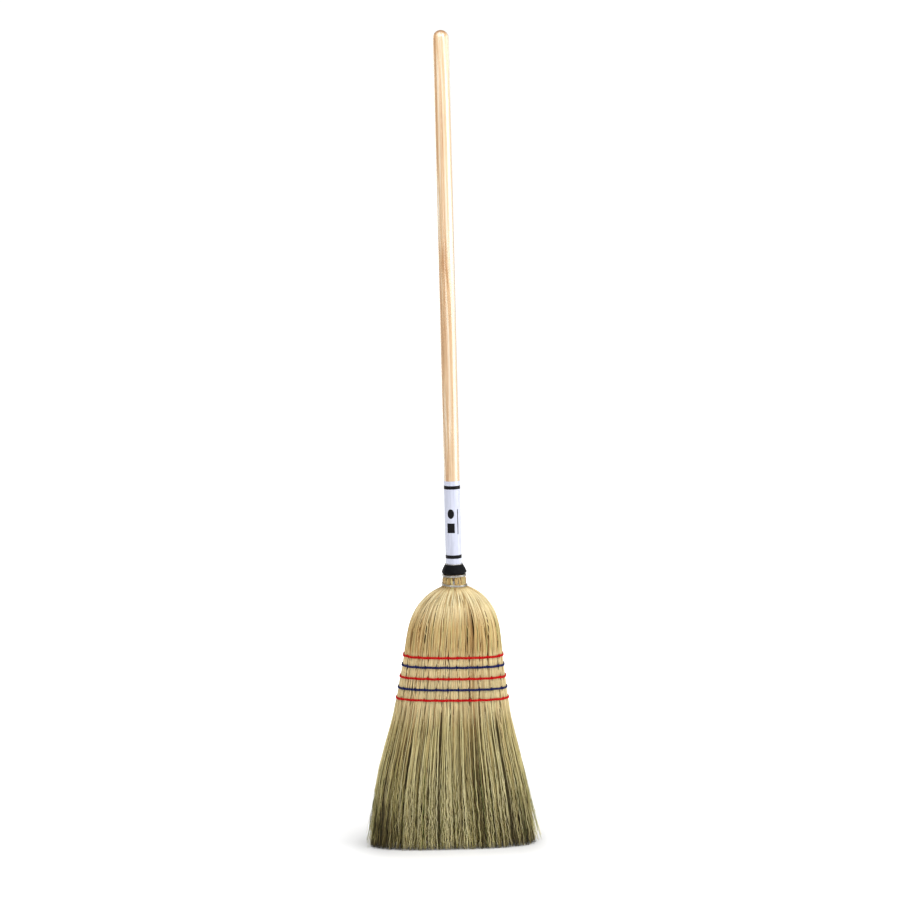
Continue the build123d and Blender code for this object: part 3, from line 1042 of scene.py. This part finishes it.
def stitch_loops(index):
    """Short slanted loops that tie the turns down at each stitch, front and back."""
    along = np.linspace(-1, 1, LOOP_POINTS)
    out = np.interp(np.abs(along), (0, 0.6, 1), LOOP_OUT_MM) * MM
    share = np.linspace(0, 1, ROUND, endpoint=False)
    loops = []
    for x in stitch_places(index):
        height = row_height(index, x)
        ring = read_table(OUTLINE, share, np.full(ROUND, height))
        for side in (-1, 1):
            off = np.abs(ring[:, 0] - x) + np.where(ring[:, 1] * side > 0, 0, 1)
            y = ring[off.argmin(), 1]
            z = height - along * LOOP_HALF_HEIGHT
            loops.append(np.column_stack([x + along * LOOP_SLANT, y + side * out, z]))
    return np.array(loops)


def stitched_row(index):
    """One row of stitching as one piece."""
    cords = np.concatenate([twine_cord(index, -CORD_GAP), twine_cord(index, CORD_GAP)])
    ply_radii = np.full(cords.shape[:2], PLY_RADIUS)
    cord_vertices, cord_quads, cord_caps = tube_mesh(cords, ply_radii, CORD_SIDES, UPWARD)
    loops = stitch_loops(index)
    loop_radii = np.full(loops.shape[:2], LOOP_RADIUS)
    loop_vertices, loop_quads, loop_caps = tube_mesh(loops, loop_radii, CORD_SIDES, SIDEWAYS)
    shift = len(cord_vertices)
    vertices = np.concatenate([cord_vertices, loop_vertices])
    polygons = [cord_quads, loop_quads + shift, cord_caps, loop_caps + shift]
    colour = ROW_COLOURS[index]
    piece = paint(mesh_piece(f"twine_row_{index + 1}", vertices, polygons), colour)
    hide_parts(ROW_NODES[index])
    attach(piece, "broom")


BOOT_ROUND = 96
BOOT_OUTSIDE_POINTS = 9


def boot_profile():
    """Radius and height down the outside of the boot, round its lip and up the inside."""
    top, bottom = BOOT[1].z, BOOT[0].z
    widest = BOOT[1].x
    bore = SLEEVE[1].x + 0.2 * MM
    return [
        (bore, top - 0.5 * MM),
        (bore + 0.5 * MM, top),
        (bore + 1.1 * MM, top - 0.3 * MM),
        (bore + 2.0 * MM, top - 1.6 * MM),
        (bore + 4.4 * MM, top - 6.0 * MM),
        (widest - 0.9 * MM, top - 10.6 * MM),
        (widest, top - 12.6 * MM),
        (widest, top - 14.2 * MM),
        (widest - 0.7 * MM, top - 15.6 * MM),
        (widest - 2.2 * MM, bottom + 0.3 * MM),
        (widest - 2.9 * MM, bottom + 0.2 * MM),
        (widest - 2.9 * MM, bottom + 2.0 * MM),
        (widest - 2.6 * MM, bottom + 7.0 * MM),
        (bore, bottom + 13.0 * MM),
    ]


def boot_piece():
    """Lathed boot, slightly uneven round its girth as pulled-on covers are."""
    profile = np.array(boot_profile())
    angle = TURN * np.arange(BOOT_ROUND) / BOOT_ROUND
    slack = smooth((BOOT[1].z - 3 * MM - profile[:, 1]) / (8 * MM))[:, None]
    uneven = 1 + 0.010 * slack * np.sin(angle * 7 + 0.6) + 0.006 * slack * np.sin(angle * 13 + 2.0)
    uneven[BOOT_OUTSIDE_POINTS:] = 1
    radius = np.minimum(profile[:, :1] * uneven, BOOT[1].x + 0.4 * MM)
    points = np.stack(
        [radius * np.cos(angle), radius * np.sin(angle), profile[:, 1:] * np.ones(BOOT_ROUND)], axis=-1
    )
    index = np.arange(len(profile) * BOOT_ROUND).reshape(len(profile), BOOT_ROUND)
    turned = np.roll(index, -1, axis=1)
    below, below_turned = np.roll(index, -1, axis=0), np.roll(turned, -1, axis=0)
    quads = np.stack([index, below, below_turned, turned], axis=-1).reshape(-1, 4)
    piece = paint(mesh_piece("boot_cover", points.reshape(-1, 3), [quads]), "boot")
    rounded = piece.modifiers.new("rounded", "SUBSURF")
    rounded.levels = rounded.render_levels = 2
    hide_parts("neck_boot")
    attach(piece, "broom")


METAL_NODES = (
    "boot_wire",
    "neck_wire",
    "shoulder_wire",
    "core_wire",
    "wing_wire",
    "start_nail",
    "finish_nail",
)


def cad_pieces():
    """CAD nodes that are shown as they are."""
    paint_node("handle", "wood")
    paint_node("label_sleeve", "sleeve")
    for name in METAL_NODES:
        paint_node(name, "wire")


# ---------------------------------------------------------------- studio

CAMERA_DISTANCE = 2.584
CAMERA_HEIGHT = 0.994
CAMERA_SIDE = -1.75 * MM
CAMERA_PITCH = math.radians(6.3)
CAMERA_ROLL = math.radians(1.446)
CAMERA_LENS = 59.76
SENSOR_WIDTH = 36.0
FLOOR_HALF = 6.0


def soft_box(name, place, width, height, power, aim):
    """Rectangular area light pointed at a spot on the broom."""
    light = bpy.data.lights.new(name, "AREA")
    light.shape = "RECTANGLE"
    light.size, light.size_y = width, height
    light.energy = power
    holder = bpy.data.objects.new(name, light)
    holder.location = place
    holder.rotation_euler = (Vector(aim) - Vector(place)).to_track_quat("-Z", "Y").to_euler()
    bpy.context.collection.objects.link(holder)


def studio_floor():
    """White floor under the broom, with a painted shadow round its foot."""
    corners = FLOOR_HALF * np.array([(-1, -1, 0), (1, -1, 0), (1, 1, 0), (-1, 1, 0)])
    floor = mesh_piece("studio_floor", corners, [np.array([[0, 1, 2, 3]])])
    floor.data.materials.append(material("floor_with_painted_shadow", floor_with_painted_shadow))


def floor_with_painted_shadow(tree, at):
    """Matte white with a painted shadow that greys it close round the foot of the broom, and glowing a
    little far off.
    """
    x, y, _ = add(tree, "SeparateXYZ", {0: at}).outputs
    across = maths(tree, "ABSOLUTE", maths(tree, "SUBTRACT", x, CENTRE[0]))
    beside = maths(tree, "MAXIMUM", maths(tree, "SUBTRACT", across, HALF_WIDTH[0] - 30 * MM), 0.0)
    squares = maths(tree, "ADD", maths(tree, "POWER", beside, 2.0), maths(tree, "MULTIPLY", y, y))
    near = maths(tree, "SQRT", squares)
    away = add(tree, "VectorMath", {0: at}, operation="LENGTH").outputs["Value"]
    span = {"Value": away, "From Min": 0.3, "From Max": 1.2, "To Min": 0.04, "To Max": 0.65}
    return {
        # Painted shadow: the floor's colour darkens towards the broom's foot, and its glow is weaker there.
        "Base Color": ramp(
            tree, near,
            (0.03, grey(0.62)),
            (0.045, grey(0.66)),
            (0.065, grey(0.74)),
            (0.09, grey(0.8)),
            (0.14, grey(0.85)),
        ),
        "Roughness": 0.9,
        "Specular IOR Level": 0.0,
        "Emission Color": grey(1.0),
        "Emission Strength": add(tree, "MapRange", span).outputs["Result"],
    }


def studio_world():
    """White surroundings: full white to the camera, softer as light."""
    world = bpy.data.worlds.new("studio")
    bpy.context.scene.world = world
    world.use_nodes = True
    tree = world.node_tree
    path = add(tree, "LightPath")
    strength = add(tree, "MapRange", {"Value": path.outputs["Is Camera Ray"], "To Min": 0.5, "To Max": 1.05})
    back = tree.nodes["Background"]
    back.inputs["Color"].default_value = grey(1.0)
    tree.links.new(strength.outputs["Result"], back.inputs["Strength"])


def studio_camera():
    """Camera in front, a little above the middle, tipped down and slightly rolled."""
    data = bpy.data.cameras.new("camera")
    data.lens = CAMERA_LENS
    data.sensor_width = SENSOR_WIDTH
    data.clip_end = 50.0
    camera = bpy.data.objects.new("camera", data)
    pitch = Matrix.Rotation(math.pi / 2 - CAMERA_PITCH, 4, "X")
    roll = Matrix.Rotation(-CAMERA_ROLL, 4, "Z")
    place = Matrix.Translation((CAMERA_SIDE, -CAMERA_DISTANCE, CAMERA_HEIGHT))
    camera.matrix_world = place @ pitch @ roll
    bpy.context.collection.objects.link(camera)
    bpy.context.scene.camera = camera


def studio():
    """Floor, surroundings, lights and camera."""
    studio_floor()
    studio_world()
    soft_box("left_soft_box", (-1.0, -2.5, 1.4), 0.25, 1.8, 10, (0, 0, 0.6))
    soft_box("right_soft_box", (1.8, -0.5, 1.25), 1.5, 2.0, 36, (0, 0, 0.6))
    soft_box("back_soft_box", (-1.2, 2.0, 1.3), 1.6, 2.0, 18, (0, 0, 0.6))
    soft_box("top_soft_box", (0.0, -0.8, 2.5), 2.2, 1.5, 46, (0, 0, 0.4))
    studio_camera()
    bpy.context.scene.view_settings.view_transform = "Standard"


cad_pieces()
boot_piece()
for row_index in range(len(ROWS)):
    stitched_row(row_index)
all_straw()
studio()
